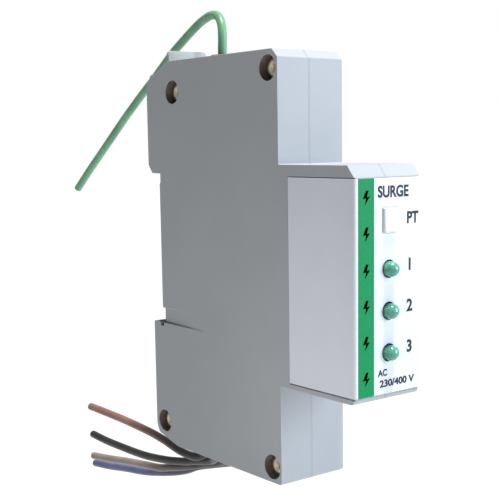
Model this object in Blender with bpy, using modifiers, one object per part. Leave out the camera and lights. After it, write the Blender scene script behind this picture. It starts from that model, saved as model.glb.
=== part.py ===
"""One-module DIN-rail surge protector with flying leads, as separate parts.

The frame: X is the width, the front faces -Y, +Z is up. The origin is on the seat where the
rail's face rests, at the middle of the rail notch. Lengths below are in millimetres and
become metres when a mesh is made.
"""
import math

import bmesh
import bpy
from mathutils import Matrix, Vector

MM = 0.001
GAP = 0.3                      # between pieces that touch

# Case
HALF_WIDTH = 8.75
PARTING_X = -0.4               # the plane where the two case halves meet
TOP_Z = 43.5
BOTTOM_Z = -46.5
SHOULDER_Y = -43.9
NOSE_FRONT_Y = -65.95
NOSE_TOP_Z = 20.4
NOSE_BOTTOM_Z = -25.2
FOOT_BACK_Y = 4.6
LOWER_FOOT_BACK_Y = 3.85
NOTCH_HALF_HEIGHT = 18.0
RAIL_SLOT = 1.3                # room for the rail's edge behind the seat
SEAT_RELIEF = 0.3              # the seat stands this proud of the notch's two ends
SIDE_WALL = 1.3
CAVITY_REAR_Y = -3.4
FRONT_WALL = 1.55

# Rivets that hold the two halves together: (name, y, z)
RIVETS = (
    ("rivet_top_front", -40.7, 39.8),
    ("rivet_top_rear", -6.0, 36.5),
    ("rivet_bottom_front", -40.8, -43.1),
    ("rivet_bottom_rear", 0.3, -41.2),
)
RECESS_RADIUS = 2.65
RECESS_DEPTH = 2.5
RIVET_SHANK = 1.1
RIVET_HEAD = 2.3
RIVET_BORE = 0.6
RIVET_HEAD_THICKNESS = 0.8

# Rail latch, in its channel in the upper foot
LATCH_HALF_WIDTH = 5.4
LATCH_FRONT_Y = -0.7
LATCH_BACK_Y = 2.2
LATCH_SHOULDER_Z = 36.3
LATCH_TIP_Z = 16.2
LATCH_TRAVEL = 3.0
TAB_FRONT_Y = -0.1
TAB_BACK_Y = 0.9
TAB_TOP_Z = 46.3
WINDOW_HALF_WIDTH = 1.5
WINDOW_BOTTOM_Z = 25.7
WINDOW_TOP_Z = 35.5
PEG_BOTTOM_Z = 34.0
PEG_TOP_Z = 35.2
SPRING_RADIUS = 1.0
SPRING_WIRE = 0.18
SPRING_TURNS = 5.5

# Front panel
LABEL_FRONT_Y = -66.5
LABEL_SIDE_X = 8.95
LABEL_THICKNESS = 0.25
LABEL_TOP_Z = 17.9
LABEL_BOTTOM_Z = -23.85
LABEL_REAR_Y = -47.1
LABEL_POCKET = 0.35
BUTTON_Z = 9.9
BUTTON_HALF_WIDTH = 1.65
BUTTON_HALF_HEIGHT = 2.3
BUTTON_FRONT_Y = -67.1
LED_NAMES = ("led_l1", "led_l2", "led_l3")
LED_Z = (0.5, -7.65, -15.8)
LED_RADIUS = 1.5
LED_FLANGE = 1.9
LED_BACK_Y = -63.1
LED_LENGTH = 5.3

# Circuit board, on edge between the halves, parts on its +X face
BOARD_BACK_X = -3.4
BOARD_FACE_X = -1.8
BOARD_FRONT_Y = -57.0
PHASE_Z = (21.5, -1.0, -23.5)
VARISTOR_RADIUS = 10.3
VARISTOR_HALF_THICKNESS = 2.3
VARISTOR_Y = -15.4
COMPONENT_X = 1.2

# Leads
LEAD_RADIUS = 1.0
LEAD_HOLE = 1.3
LEAD_POINT_SPACING = 5.0
EARTH_EXIT_Y = -13.8
PHASE_EXITS_Y = (-5.0, -8.0, -11.0, -14.0)
GROMMET_NECK = 2.0
GROMMET_FLANGE = 2.8

# Each lead's centreline: its end at the board, where it leaves the grommet, then on to its cut end.
LEAD_ROUTES = {
    "lead_earth_green": (
        (0, -13.8, 36.8), (0, -13.8, 45.2), (0.1, -13.8, 48.4), (0.6, -12.9, 51.3), (1.3, -10.8, 53.3),
        (1.9, -8.1, 54), (2.4, -4.9, 53.8), (3.2, 0.5, 52.4), (3.6, 8.3, 48.8), (3.6, 12.8, 46.2),
        (3.4, 19.7, 41.4), (3, 26.4, 36.8), (2.5, 33.3, 31.7), (2, 43.9, 23.7), (1.5, 51.2, 18),
        (1, 57.4, 12.8),
    ),
    "lead_phase_brown": (
        (0, -5, -40.2), (0, -5, -48), (-0.8, -4.6, -50), (-2.1, -2.6, -50.9), (-3, 1.2, -50.6),
        (-3.4, 5, -49.8), (-3.5, 9, -49), (-3.6, 15.7, -48.2), (-4.2, 26.2, -47.3), (-4.6, 35, -46.9),
        (-5, 43.5, -46.6),
    ),
    "lead_phase_black": (
        (0, -8, -40.2), (0, -8, -48), (0.6, -7.3, -50.3), (1.6, -5, -51.9), (1.3, -2, -52.8),
        (0.7, 1.5, -53.5), (0, 5, -54.3), (-0.6, 8.7, -54.9), (-1, 12.3, -55.4), (-1.4, 19.4, -56.1),
        (-1.7, 24.9, -56.3), (-1.9, 30.6, -56.3), (-2.2, 39.7, -56.2), (-2.5, 47.4, -55.7),
    ),
    "lead_phase_grey": (
        (0, -11, -40.2), (0, -11, -48), (1.2, -10.8, -50.4), (3.6, -9.2, -51.9), (4.9, -5.7, -52.7),
        (4.7, -1.5, -54.1), (4, 2.5, -55.2), (3, 6, -56.2), (2.3, 10, -57.4), (1.5, 14, -58.3),
        (0.7, 18.2, -59.2), (0.5, 26.1, -60.1), (0.2, 34.4, -61.1), (0, 42.7, -62.3), (-0.3, 51.4, -63.3),
    ),
    "lead_neutral_blue": (
        (0, -14, -40.2), (0, -14, -48), (1.6, -14, -50.3), (4.4, -12.8, -51.8), (6.9, -9.5, -52.6),
        (7.5, -4.7, -53.8), (7, 0.6, -55.3), (6.3, 4.2, -56.3), (5.4, 7.5, -57.3), (4.8, 11, -58.9),
        (4, 15, -60.2), (3.4, 19, -61.2), (2.9, 24, -62.3), (2.6, 29.4, -63.3), (2.4, 38.3, -64.5),
        (2.2, 46.7, -65.8), (2, 54.7, -66.7),
    ),
}

parts = None
cutters = None


# ---------------------------------------------------------------- scene and materials

def clear_scene():
    for item in list(bpy.data.objects):
        bpy.data.objects.remove(item, do_unlink=True)


def make_collections():
    global parts, cutters
    parts = bpy.data.collections.new("surge_protector")
    cutters = bpy.data.collections.new("cutters")
    bpy.context.scene.collection.children.link(parts)
    bpy.context.scene.collection.children.link(cutters)


def material(name, colour, roughness, metallic=0.0):
    found = bpy.data.materials.get(name)
    if found:
        return found
    made = bpy.data.materials.new(name)
    made.use_nodes = True
    shader = made.node_tree.nodes["Principled BSDF"]
    shader.inputs["Base Color"].default_value = (*colour, 1.0)
    shader.inputs["Roughness"].default_value = roughness
    shader.inputs["Metallic"].default_value = metallic
    return made


def case_plastic():
    return material("case_plastic", (0.36, 0.38, 0.40), 0.5)


def latch_plastic():
    return material("latch_plastic", (0.60, 0.62, 0.60), 0.45)


def label_film():
    return material("label_film", (0.86, 0.87, 0.89), 0.35)


def brass():
    return material("brass", (0.62, 0.50, 0.30), 0.3, 1.0)


def spring_steel():
    return material("spring_steel", (0.55, 0.55, 0.56), 0.3, 1.0)


def tinned_copper():
    return material("tinned_copper", (0.75, 0.75, 0.74), 0.3, 1.0)


# ---------------------------------------------------------------- shapes

def add_object(name, mesh, finish=None):
    item = bpy.data.objects.new(name, mesh)
    if finish is None:
        cutters.objects.link(item)
        item.hide_render = True
        item.display_type = "WIRE"
    else:
        parts.objects.link(item)
        mesh.materials.append(finish)
    return item


def mesh_from(bm, name):
    mesh = bpy.data.meshes.new(name)
    bm.to_mesh(mesh)
    bm.free()
    return mesh


def box(name, low, high, finish=None):
    bm = bmesh.new()
    bmesh.ops.create_cube(bm, size=1.0)
    size = [(b - a) * MM for a, b in zip(low, high)]
    bmesh.ops.scale(bm, vec=size, verts=bm.verts)
    item = add_object(name, mesh_from(bm, name), finish)
    item.location = (Vector(low) + Vector(high)) / 2 * MM
    return item


def cylinder(name, radius, start, end, finish=None, sides=28):
    along = Vector(end) - Vector(start)
    bm = bmesh.new()
    bmesh.ops.create_cone(
        bm, cap_ends=True, segments=sides, radius1=radius * MM, radius2=radius * MM, depth=along.length * MM
    )
    item = add_object(name, mesh_from(bm, name), finish)
    item.location = (Vector(start) + Vector(end)) / 2 * MM
    item.rotation_mode = "QUATERNION"
    item.rotation_quaternion = Vector((0, 0, 1)).rotation_difference(along)
    shade_round(item)
    return item


def mesh_of_curve(item, name, finish):
    """The curve's solid as a mesh object, with its caps welded on."""
    made = bpy.data.meshes.new_from_object(item.evaluated_get(bpy.context.evaluated_depsgraph_get()))
    bm = bmesh.new()
    bm.from_mesh(made)
    bmesh.ops.remove_doubles(bm, verts=bm.verts, dist=0.00001)
    bm.to_mesh(made)
    bm.free()
    place = item.matrix_world.copy()
    curve = item.data
    bpy.data.objects.remove(item, do_unlink=True)
    bpy.data.curves.remove(curve)
    made.name = name
    solid = add_object(name, made, finish)
    solid.matrix_world = place
    return solid


def move_origin(item, place):
    """Puts the object's origin at a place, in millimetres, and leaves its shape where it is."""
    bpy.context.view_layer.update()
    local = item.matrix_world.inverted() @ (Vector(place) * MM)
    item.data.transform(Matrix.Translation(-local))
    item.matrix_world = item.matrix_world @ Matrix.Translation(local)


def new_curve(name, points, cyclic, dimensions):
    curve = bpy.data.curves.new(name, "CURVE")
    curve.dimensions = dimensions
    spline = curve.splines.new("POLY")
    spline.points.add(len(points) - 1)
    for place, point in zip(spline.points, points):
        place.co = (*[value * MM for value in point], 1.0)
    spline.use_cyclic_u = cyclic
    return curve


# An outline's plane, by the axis it is extruded along: local X, Y, Z to world axes.
PLATE_TURNS = {
    "X": Matrix(((0, 0, 1, 0), (1, 0, 0, 0), (0, 1, 0, 0), (0, 0, 0, 1))),
    "Z": Matrix.Identity(4),
}


def plate(name, outline, axis, low, high, finish=None):
    """A flat outline, (y, z) for axis X or (x, y) for axis Z, extruded from low to high."""
    curve = new_curve(name, [(u, v, 0.0) for u, v in outline], True, "2D")
    curve.fill_mode = "BOTH"
    curve.extrude = (high - low) / 2 * MM
    item = bpy.data.objects.new(name, curve)
    bpy.context.scene.collection.objects.link(item)
    item.matrix_world = PLATE_TURNS[axis] @ Matrix.Translation((0, 0, (low + high) / 2 * MM))
    bpy.context.view_layer.update()
    made = mesh_of_curve(item, name, finish)
    merge_flat_faces(made.data)
    return made


def merge_flat_faces(mesh):
    """Joins the triangles of each flat face into one face."""
    bm = bmesh.new()
    bm.from_mesh(mesh)
    bmesh.ops.dissolve_limit(bm, angle_limit=math.radians(0.5), verts=bm.verts, edges=bm.edges)
    bm.to_mesh(mesh)
    bm.free()


def tube(name, points, radius, finish=None, resolution=2):
    curve = new_curve(name, points, False, "3D")
    curve.bevel_depth = radius * MM
    curve.bevel_resolution = resolution
    curve.use_fill_caps = True
    item = bpy.data.objects.new(name, curve)
    bpy.context.scene.collection.objects.link(item)
    bpy.context.view_layer.update()
    made = mesh_of_curve(item, name, finish)
    shade_round(made)
    return made


def turned(name, profile, centre, axis, finish=None, steps=28):
    """A profile of (radius, height), listed down its outer side, turned about an axis."""
    bm = bmesh.new()
    verts = [bm.verts.new((r * MM, 0, h * MM)) for r, h in profile]
    for a, b in zip(verts, verts[1:]):
        bm.edges.new((a, b))
    if profile[0][0] > 0:
        bm.edges.new((verts[-1], verts[0]))
    item = add_object(name, mesh_from(bm, name), finish)
    item.location = Vector(centre) * MM
    item.rotation_mode = "QUATERNION"
    item.rotation_quaternion = Vector((0, 0, 1)).rotation_difference(Vector(axis))
    screw = item.modifiers.new("turn", "SCREW")
    screw.steps = steps
    screw.render_steps = steps
    screw.use_merge_vertices = True
    screw.merge_threshold = 0.00001
    screw.use_smooth_shade = True
    return item


def shade_round(item):
    item.data.shade_smooth()
    item.data.set_sharp_from_angle(angle=math.radians(40))


def bevel_edges(item, chosen, width, segments=3):
    """Rounds the edges whose middle passes the test, which gets its place in millimetres."""
    bpy.context.view_layer.update()
    place = item.matrix_world
    bm = bmesh.new()
    bm.from_mesh(item.data)
    edges = [e for e in bm.edges if chosen(*(place @ ((e.verts[0].co + e.verts[1].co) / 2) / MM))]
    bmesh.ops.bevel(
        bm, geom=edges, offset=width * MM, offset_type="OFFSET", segments=segments, profile=0.5,
        affect="EDGES",
    )
    bm.to_mesh(item.data)
    bm.free()


def boolean(target, operand, operation):
    step = target.modifiers.new(operand.name, "BOOLEAN")
    step.operation = operation
    step.solver = "EXACT"
    step.object = operand


def cut(target, *operands):
    for operand in operands:
        boolean(target, operand, "DIFFERENCE")


def join(target, *operands):
    for operand in operands:
        boolean(target, operand, "UNION")


def arc(centre, radius, start_deg, end_deg, count):
    """Points on an arc, ends included."""
    points = []
    for i in range(count + 1):
        angle = math.radians(start_deg + (end_deg - start_deg) * i / count)
        points.append((centre[0] + radius * math.cos(angle), centre[1] + radius * math.sin(angle)))
    return points


def smooth_route(route, spacing):
    """The route as a smooth curve from its second point on, read at one point per spacing."""
    points = [Vector(p) for p in route]
    padded = [*points, points[-1] * 2 - points[-2]]
    fine = []
    for i in range(1, len(padded) - 2):
        p0, p1, p2, p3 = padded[i - 1:i + 3]
        for k in range(16):
            t = k / 16
            bend = (2 * p0 - 5 * p1 + 4 * p2 - p3) * t**2 + (3 * p1 - p0 - 3 * p2 + p3) * t**3
            fine.append((2 * p1 + (p2 - p0) * t + bend) / 2)
    fine.append(points[-1])
    return [route[0], *evenly_spaced(fine, spacing)]


def evenly_spaced(fine, spacing):
    length = sum((b - a).length for a, b in zip(fine, fine[1:]))
    count = max(2, round(length / spacing))
    kept = [fine[0]]
    walked = 0.0
    for a, b in zip(fine, fine[1:]):
        step = (b - a).length
        while len(kept) < count and walked + step >= length * len(kept) / count:
            kept.append(a.lerp(b, (length * len(kept) / count - walked) / step))
        walked += step
    kept.append(fine[-1])
    return [tuple(p) for p in kept]


# ---------------------------------------------------------------- case

def case_outline():
    """The side view of the case, (y, z), from the rail seat downwards."""
    nose_corner = arc((NOSE_FRONT_Y + 1.0, NOSE_BOTTOM_Z + 1.0), 1.0, 270, 180, 4)
    return [
        (-SEAT_RELIEF, NOTCH_HALF_HEIGHT),
        (-SEAT_RELIEF, 16.0),
        (0.0, 15.7),
        (0.0, -16.6),
        (-SEAT_RELIEF, -16.9),
        (-SEAT_RELIEF, -NOTCH_HALF_HEIGHT),
        (RAIL_SLOT, -NOTCH_HALF_HEIGHT),
        (RAIL_SLOT, -17.5),
        (2.2, -17.0),
        (LOWER_FOOT_BACK_Y, -17.2),
        (LOWER_FOOT_BACK_Y, -42.4),
        (3.4, -43.6),
        (2.6, -44.6),
        (-5.0, BOTTOM_Z),
        (SHOULDER_Y + 0.5, BOTTOM_Z),
        (SHOULDER_Y, BOTTOM_Z + 0.5),
        (SHOULDER_Y, NOSE_BOTTOM_Z),
        *nose_corner,
        (NOSE_FRONT_Y, 18.1),
        (NOSE_FRONT_Y + 1.75, NOSE_TOP_Z),
        (SHOULDER_Y, NOSE_TOP_Z),
        (SHOULDER_Y, TOP_Z - 1.7),
        (SHOULDER_Y + 1.7, TOP_Z),
        (-4.2, TOP_Z),
        (1.0, 40.9),
        (2.7, 40.8),
        (FOOT_BACK_Y, 38.4),
        (FOOT_BACK_Y, 20.0),
        (3.1, NOTCH_HALF_HEIGHT + 0.1),
    ]


def cavity_outline():
    """The hollow inside, (y, z), which leaves solid corners for the rivets."""
    low = BOTTOM_Z + 1.6
    high = TOP_Z - 1.6
    front = SHOULDER_Y + 1.6
    nose = NOSE_FRONT_Y + FRONT_WALL
    return [
        (-1.9, low), (-1.9, low + 1.3), (CAVITY_REAR_Y, low + 1.3), (CAVITY_REAR_Y, 32.6),
        (-9.9, 32.6), (-9.9, high), (-36.9, high),
        (-36.9, 35.9), (front, 35.9), (front, NOSE_TOP_Z - 1.6), (nose, NOSE_TOP_Z - 1.6),
        (nose, NOSE_BOTTOM_Z + 1.6), (front, NOSE_BOTTOM_Z + 1.6), (front, -39.4), (-36.9, -39.4),
        (-36.9, low),
    ]


def shared_cutters():
    """Cutters that reach through both halves of the case."""
    made = [
        box(
            "cut_latch_channel",
            (-LATCH_HALF_WIDTH - GAP, LATCH_FRONT_Y - GAP, 17.6),
            (LATCH_HALF_WIDTH + GAP, LATCH_BACK_Y + GAP, LATCH_SHOULDER_Z + LATCH_TRAVEL + GAP),
        ),
        box(
            "cut_tab_slot",
            (-LATCH_HALF_WIDTH - GAP, TAB_FRONT_Y - GAP, 30.0),
            (LATCH_HALF_WIDTH + GAP, TAB_BACK_Y + GAP, 50.0),
        ),
        box(
            "cut_button_opening",
            (-BUTTON_HALF_WIDTH - GAP, -70.0, BUTTON_Z - BUTTON_HALF_HEIGHT - GAP),
            (BUTTON_HALF_WIDTH + GAP, -63.0, BUTTON_Z + BUTTON_HALF_HEIGHT + GAP),
        ),
        cylinder("cut_earth_exit", GROMMET_NECK + GAP, (0, EARTH_EXIT_Y, 38), (0, EARTH_EXIT_Y, 50)),
        plate("cut_lead_exit", stadium(GROMMET_NECK + GAP), "Z", -50.0, -40.0),
    ]
    for name, z in zip(LED_NAMES, LED_Z):
        made.append(cylinder("cut_" + name, LED_RADIUS + GAP, (0, -70, z), (0, -63, z), sides=24))
    for name, y, z in RIVETS:
        made.append(cylinder("cut_" + name, RIVET_SHANK + GAP, (-12, y, z), (12, y, z), sides=20))
    return made


def stadium(radius):
    """The outline round the row of lead holes, (x, y)."""
    front = PHASE_EXITS_Y[-1]
    rear = PHASE_EXITS_Y[0]
    return arc((0, rear), radius, 0, 180, 10) + arc((0, front), radius, 180, 360, 10)


def make_case_half(name, side, through):
    inner = PARTING_X + side * GAP / 2
    outer = side * HALF_WIDTH
    beyond = PARTING_X - side * 2.0
    wall = side * (HALF_WIDTH - SIDE_WALL)
    half = plate(name, case_outline(), "X", min(inner, outer), max(inner, outer), case_plastic())
    cut(half, plate("cut_cavity_" + name, cavity_outline(), "X", min(beyond, wall), max(beyond, wall)))
    join(half, *board_posts(name, side))
    cut(half, *through)
    join(half, make_peg_half(name, side, inner))
    for rivet, y, z in RIVETS:
        start = (side * (HALF_WIDTH - RECESS_DEPTH), y, z)
        end = (side * (HALF_WIDTH + 2), y, z)
        cut(half, cylinder("cut_recess_" + rivet + "_" + name, RECESS_RADIUS, start, end))
    pocket = sorted((side * (HALF_WIDTH - LABEL_POCKET), side * (HALF_WIDTH + 2)))
    cut(half, box(
        "cut_label_pocket_" + name,
        (pocket[0], -70.0, LABEL_BOTTOM_Z - GAP), (pocket[1], LABEL_REAR_Y + GAP, LABEL_TOP_Z + 0.2),
    ))
    cut(half, make_finger_groove(name, side))
    return half


def make_peg_half(name, side, inner):
    """The spring's fixed stop in the latch channel, half of it on each side."""
    span = sorted((inner, side * 1.1))
    return box("peg_" + name, (span[0], LATCH_FRONT_Y - 0.9, PEG_BOTTOM_Z), (span[1], 2.0, PEG_TOP_Z))


def board_posts(name, side):
    """Posts from the case wall that hold the board's face or its back."""
    wall = side * (HALF_WIDTH - SIDE_WALL / 2)
    tip = BOARD_BACK_X - GAP if side < 0 else BOARD_FACE_X + GAP
    made = []
    for i, (y, z) in enumerate(((-33.5, 31.0), (-33.5, -34.0))):
        made.append(cylinder(f"post_{i}_{name}", 1.6, (wall, y, z), (tip, y, z), sides=20))
    return made


def make_finger_groove(name, side):
    """A shallow wedge at the foot, deepest at the rail notch and running out forwards."""
    deep = side * (HALF_WIDTH - 0.74)
    shallow = side * (HALF_WIDTH + 0.08)
    far = side * (HALF_WIDTH + 1)
    outline = [(far, 1.0), (deep, 1.0), (shallow, -20.0), (far, -20.0)]
    if side > 0:
        outline.reverse()
    return plate("cut_groove_" + name, outline, "Z", -17.2, -13.6)


def make_rivet(name, y, z):
    seat = HALF_WIDTH - RECESS_DEPTH + GAP
    face = seat + RIVET_HEAD_THICKNESS
    profile = [
        (RIVET_SHANK, seat), (RIVET_SHANK, -seat), (RIVET_HEAD, -seat), (RIVET_HEAD, -seat - 0.35),
        (1.5, -face), (0.95, -face), (RIVET_BORE, -face + 0.4),
        (RIVET_BORE, face - 0.4), (0.95, face), (1.5, face), (RIVET_HEAD, seat + 0.35), (RIVET_HEAD, seat),
    ]
    turned(name, profile, (0, y, z), (1, 0, 0), brass(), steps=20)


def make_label():
    """The printed film that wraps the nose's front and both its sides."""
    front = LABEL_FRONT_Y
    side = LABEL_SIDE_X
    corner = 0.6
    inner = corner - LABEL_THICKNESS
    outline = [(-side, LABEL_REAR_Y)]
    outline += arc((-side + corner, front + corner), corner, 180, 270, 4)
    outline += arc((side - corner, front + corner), corner, 270, 360, 4)
    outline += [(side, LABEL_REAR_Y), (side - LABEL_THICKNESS, LABEL_REAR_Y)]
    outline += arc((side - corner, front + corner), inner, 360, 270, 4)
    outline += arc((-side + corner, front + corner), inner, 270, 180, 4)
    outline += [(-side + LABEL_THICKNESS, LABEL_REAR_Y)]
    label = plate("wrap_label", outline, "Z", LABEL_BOTTOM_Z, LABEL_TOP_Z, label_film())
    cut(label, bpy.data.objects["cut_button_opening"])
    for name in LED_NAMES:
        cut(label, bpy.data.objects["cut_" + name])


# ---------------------------------------------------------------- rail latch

def make_latch():
    outline = [
        (LATCH_FRONT_Y, NOTCH_HALF_HEIGHT), (RAIL_SLOT, NOTCH_HALF_HEIGHT), (RAIL_SLOT, LATCH_TIP_Z),
        (LATCH_BACK_Y, LATCH_TIP_Z + 1.0), (LATCH_BACK_Y, LATCH_SHOULDER_Z),
        (TAB_BACK_Y, LATCH_SHOULDER_Z), (TAB_BACK_Y, TAB_TOP_Z), (TAB_FRONT_Y, TAB_TOP_Z),
        (TAB_FRONT_Y, LATCH_SHOULDER_Z), (LATCH_FRONT_Y, LATCH_SHOULDER_Z),
    ]
    latch = plate("rail_latch", outline, "X", -LATCH_HALF_WIDTH, LATCH_HALF_WIDTH, latch_plastic())
    bevel_edges(latch, lambda x, y, z: z > TAB_TOP_Z - 0.01 and abs(x) > LATCH_HALF_WIDTH - 0.01, 0.9)
    cut(latch, box(
        "cut_latch_window",
        (-WINDOW_HALF_WIDTH, -3.0, WINDOW_BOTTOM_Z), (WINDOW_HALF_WIDTH, 5.0, WINDOW_TOP_Z),
    ))
    move_origin(latch, (0, (LATCH_FRONT_Y + LATCH_BACK_Y) / 2, LATCH_TIP_Z))


def make_latch_spring():
    low = WINDOW_BOTTOM_Z + GAP + SPRING_WIRE
    high = PEG_BOTTOM_Z - GAP - SPRING_WIRE
    per_turn = 10
    count = int(SPRING_TURNS * per_turn)
    middle_y = (LATCH_FRONT_Y + LATCH_BACK_Y) / 2
    points = []
    for i in range(count + 1):
        angle = 2 * math.pi * i / per_turn
        points.append((
            SPRING_RADIUS * math.cos(angle),
            middle_y + SPRING_RADIUS * math.sin(angle),
            low + (high - low) * i / count,
        ))
    tube("latch_spring", points, SPRING_WIRE, spring_steel())


# ---------------------------------------------------------------- front panel pieces

def make_test_button():
    button = box(
        "test_button",
        (-BUTTON_HALF_WIDTH, BUTTON_FRONT_Y, BUTTON_Z - BUTTON_HALF_HEIGHT),
        (BUTTON_HALF_WIDTH, LED_BACK_Y, BUTTON_Z + BUTTON_HALF_HEIGHT),
        material("button_plastic", (0.82, 0.84, 0.84), 0.4),
    )
    bevel_edges(button, lambda x, y, z: y < BUTTON_FRONT_Y + 0.01, 0.25, 2)
    join(button, box(
        "button_flange",
        (-BUTTON_HALF_WIDTH - 1, LED_BACK_Y - 1, BUTTON_Z - BUTTON_HALF_HEIGHT - 1),
        (BUTTON_HALF_WIDTH + 1, LED_BACK_Y, BUTTON_Z + BUTTON_HALF_HEIGHT + 1),
    ))
    return button


def make_tact_switch(button):
    body = box(
        "tact_switch_body", (-3.0, -60.8, BUTTON_Z - 3), (3.0, BOARD_FRONT_Y - GAP, BUTTON_Z + 3),
        material("switch_plastic", (0.05, 0.05, 0.05), 0.45),
    )
    cut(body, cylinder("cut_plunger_well", 1.9, (0, -62, BUTTON_Z), (0, -59.2, BUTTON_Z), sides=24))
    plunger = cylinder(
        "tact_switch_plunger", 1.6, (0, LED_BACK_Y + GAP, BUTTON_Z), (0, -60.0, BUTTON_Z),
        material("plunger_plastic", (0.10, 0.10, 0.11), 0.4), sides=24,
    )
    plunger.parent = button
    plunger.location -= button.location


def make_leds():
    lens = material("led_lens", (0.10, 0.45, 0.25), 0.2)
    shoulder = LED_LENGTH - LED_RADIUS
    dome = arc((0, shoulder), LED_RADIUS, 90, 0, 6)
    profile = dome + [(LED_RADIUS, 1.0), (LED_FLANGE, 1.0), (LED_FLANGE, 0.0), (0.0, 0.0)]
    profile[0] = (0.0, LED_LENGTH)
    for name, z in zip(LED_NAMES, LED_Z):
        turned(name, profile, (0, LED_BACK_Y, z), (0, -1, 0), lens, steps=24)
    box(
        "led_holder", (-2.3, LED_BACK_Y + GAP, LED_Z[-1] - 2.4), (2.3, BOARD_FRONT_Y - GAP, LED_Z[0] + 2.4),
        material("holder_plastic", (0.03, 0.03, 0.03), 0.5),
    )


# ---------------------------------------------------------------- circuit

def board_outline():
    return [
        (-3.9, -43.2), (-3.9, 32.1), (-10.4, 32.1), (-10.4, 40.6), (-36.4, 40.6), (-36.4, 35.4),
        (-41.8, 35.4), (-41.8, 18.3), (BOARD_FRONT_Y, 18.3), (BOARD_FRONT_Y, -23.1), (-41.8, -23.1),
        (-41.8, -38.9), (-36.4, -38.9), (-36.4, -43.2),
    ]


def make_board():
    laminate = material("board_laminate", (0.03, 0.16, 0.07), 0.4)
    plate("main_pcb", board_outline(), "X", BOARD_BACK_X, BOARD_FACE_X, laminate)
    paper = material("aramid_paper", (0.72, 0.62, 0.42), 0.7)
    sheet_outline = [(-4.5, -42.5), (-4.5, 31.5), (-31.0, 31.5), (-31.0, -42.5)]
    plate("insulation_sheet", sheet_outline, "X", -4.2, -3.85, paper)


def lead_loop(name, start, end, axis_depth, reach):
    """A lead that rises from the board, runs through a component and returns to the board.

    start and end are the (y, z) of its two board holes, and reach are the (y, z) ends of its
    run at the component's depth.
    """
    foot = BOARD_FACE_X + GAP
    points = [(foot, *start), (axis_depth, *start), (axis_depth, *reach[0]), (axis_depth, *reach[1]),
              (axis_depth, *end), (foot, *end)]
    kept = [points[0]]
    for point in points[1:]:
        if (Vector(point) - Vector(kept[-1])).length > 0.01:
            kept.append(point)
    return tube(name, kept, 0.4)


def make_varistors():
    epoxy = material("varistor_epoxy", (0.02, 0.10, 0.36), 0.35)
    t = VARISTOR_HALF_THICKNESS
    r = VARISTOR_RADIUS
    upper = [(0, t), (r - 1.2, t), (r - 0.3, t - 0.6), (r, t - 1.6)]
    profile = upper + [(radius, -height) for radius, height in reversed(upper)]
    pitch = 3.75
    for name, z in zip(("varistor_l1", "varistor_l2", "varistor_l3"), PHASE_Z):
        body = turned(name, profile, (COMPONENT_X, VARISTOR_Y, z), (1, 0, 0), epoxy, steps=30)
        below = z - r - 0.95
        inside = z - r + 2.5
        near = VARISTOR_Y + pitch
        far = VARISTOR_Y - pitch
        join(body, lead_loop(
            "leads_" + name, (near, below), (far, below), COMPONENT_X, ((near, inside), (far, inside))
        ))


def axial_part(name, radius, length, centre, along_y, finish, reach=2.0):
    """A round component lying along Y or Z, with its lead bent down to the board at both ends."""
    y, z = centre
    half = length / 2
    span = half + reach
    if along_y:
        first, second = (y - span, z), (y + span, z)
        ends = (COMPONENT_X, y - half, z), (COMPONENT_X, y + half, z)
    else:
        first, second = (y, z - span), (y, z + span)
        ends = (COMPONENT_X, y, z - half), (COMPONENT_X, y, z + half)
    body = cylinder(name, radius, *ends, finish, sides=20)
    join(body, lead_loop("leads_" + name, first, second, COMPONENT_X, (first, second)))


def make_small_components():
    for i in range(3):
        axial_part(
            f"thermal_fuse_l{i + 1}", 2.0, 9.0, (-30.4, PHASE_Z[i]), False,
            material("fuse_case", (0.70, 0.70, 0.68), 0.35, 0.6),
        )
        axial_part(
            f"led_resistor_l{i + 1}", 1.6, 8.0, (-49.0, LED_Z[i]), True,
            material("resistor_paint", (0.55, 0.42, 0.25), 0.5),
        )
        axial_part(
            f"led_diode_l{i + 1}", 1.35, 5.2, (-38.2, LED_Z[i]), True,
            material("diode_case", (0.03, 0.03, 0.03), 0.4), reach=1.2,
        )
    paint = material("resistor_paint", (0.55, 0.42, 0.25), 0.5)
    axial_part("test_resistor", 1.6, 8.0, (-49.0, BUTTON_Z), True, paint)
    ceramic = material("gdt_ceramic", (0.80, 0.78, 0.72), 0.4)
    axial_part("gas_discharge_tube", 3.0, 6.0, (-26.0, 36.6), True, ceramic)


def make_solder_posts():
    names = ("phase_brown", "phase_black", "phase_grey", "neutral_blue")
    places = [(name, y, -38.6) for name, y in zip(names, PHASE_EXITS_Y)]
    places.append(("earth_green", EARTH_EXIT_Y, 35.2))
    foot = BOARD_FACE_X + GAP
    for name, y, z in places:
        cylinder("solder_post_" + name, 1.0, (foot, y, z), (1.4, y, z), tinned_copper(), sides=16)


# ---------------------------------------------------------------- leads and their grommets

def make_earth_grommet():
    rubber = material("grommet_rubber", (0.04, 0.04, 0.045), 0.7)
    neck = GROMMET_NECK
    profile = [
        (LEAD_HOLE, 44.5), (2.5, 44.5), (GROMMET_FLANGE, 44.2), (GROMMET_FLANGE, TOP_Z + GAP),
        (neck, TOP_Z + GAP), (neck, 41.6), (GROMMET_FLANGE, 41.6), (GROMMET_FLANGE, 41.0),
        (LEAD_HOLE, 41.0),
    ]
    turned("earth_grommet", profile, (0, EARTH_EXIT_Y, 0), (0, 0, 1), rubber, steps=24)


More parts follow.
